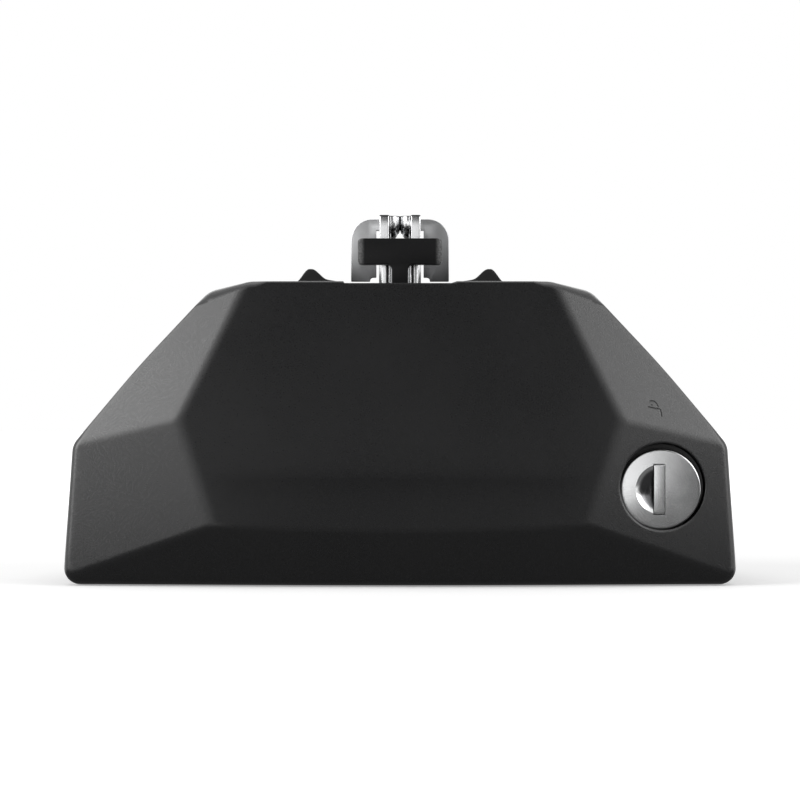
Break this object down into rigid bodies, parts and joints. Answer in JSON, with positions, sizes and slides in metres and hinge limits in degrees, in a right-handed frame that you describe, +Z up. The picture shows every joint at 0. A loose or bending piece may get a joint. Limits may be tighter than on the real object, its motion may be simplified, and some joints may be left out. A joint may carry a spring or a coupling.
{
  "type": "roof bar foot",
  "caption": "Roof bar foot for flush rails: lockable faceted cover, moulded base, sliding rail jaw and a fork that clamps the bar.",
  "frame": {"origin": "middle of the plane on which the jaw lips stand, at the middle of the foot seen from above", "axes": "+Z up, towards the bar; +Y along the bar, towards the inboard side; +X along the rail; the cover faces -Y"},
  "size_m": [0.1678, 0.0958, 0.0942],
  "materials": {
    "black_plastic": "moulded, fine grain",
    "black_rubber": "satin moulded rubber",
    "zinc_steel": "bright zinc plate",
    "rolled_steel": "rolled and lightly brushed",
    "chrome_face": "satin chrome",
    "dark_steel": "dark phosphated steel"
  },
  "bodies": {
    "base": {"foot_base": "black_plastic", "saddle_pad_left": "black_rubber", "saddle_pad_right": "black_rubber", "sole_pad": "black_rubber", "t_guide": "black_plastic", "guide_screw": "zinc_steel", "front_bracket": "zinc_steel", "bracket_screws": "zinc_steel", "screw_washer": "zinc_steel", "outer_jaw_liner": "black_rubber"},
    "cover": {"front_cover": "black_plastic", "lock_housing": "dark_steel", "housing_clip": "zinc_steel"},
    "lock": {"lock_plug": "chrome_face", "lock_cam": "zinc_steel", "cam_nut": "zinc_steel"},
    "shutter": {"lock_shutter": "chrome_face", "shutter_pin": "dark_steel"},
    "screw": {"tension_screw": "zinc_steel", "screw_clip": "dark_steel"},
    "slider": {"clamp_slider": "zinc_steel", "barrel_nut": "zinc_steel", "inner_jaw": "zinc_steel", "jaw_rivets": "zinc_steel", "inner_jaw_liner": "black_rubber"},
    "bar_clamp": {"fork_plate_left": "zinc_steel", "fork_plate_right": "zinc_steel", "fork_spacer": "dark_steel", "clamp_plate": "rolled_steel", "cross_pin": "zinc_steel", "pin_clips": "dark_steel"}
  },
  "joints": [
    {"name": "cover_pull", "type": "slide", "parent": "base", "child": "cover", "axis": [0, -1, 0], "range_m": [0, 0.06]},
    {"name": "lock_turn", "type": "hinge", "parent": "cover", "child": "lock", "pos_m": [0.0648, -0.0362, 0.024], "axis": [0, 1, 0], "range_deg": [0, 90]},
    {"name": "shutter_push", "type": "hinge", "parent": "lock", "child": "shutter", "pos_m": [0.0652, -0.0356, 0.024], "axis": [0, 0, -1], "range_deg": [0, 70], "stiffness_Nm_per_rad": 0.0002, "springref_deg": -17.19},
    {"name": "screw_turn", "type": "hinge", "parent": "base", "child": "screw", "pos_m": [0, -0.03, 0.03], "axis": [0, -1, 0], "range_deg": [0, 3600]},
    {"name": "jaw_slide", "type": "slide", "parent": "base", "child": "slider", "axis": [0, 1, 0], "range_m": [0, 0.0125]},
    {"name": "clamp_rise", "type": "slide", "parent": "base", "child": "bar_clamp", "axis": [0, 0, 1], "range_m": [0, 0.004]}
  ],
  "couplings": [
    {"joint": "screw_turn", "follows": "jaw_slide", "rad_per_m": 5026.5},
    {"joint": "clamp_rise", "follows": "jaw_slide", "ratio": 0.32}
  ]
}
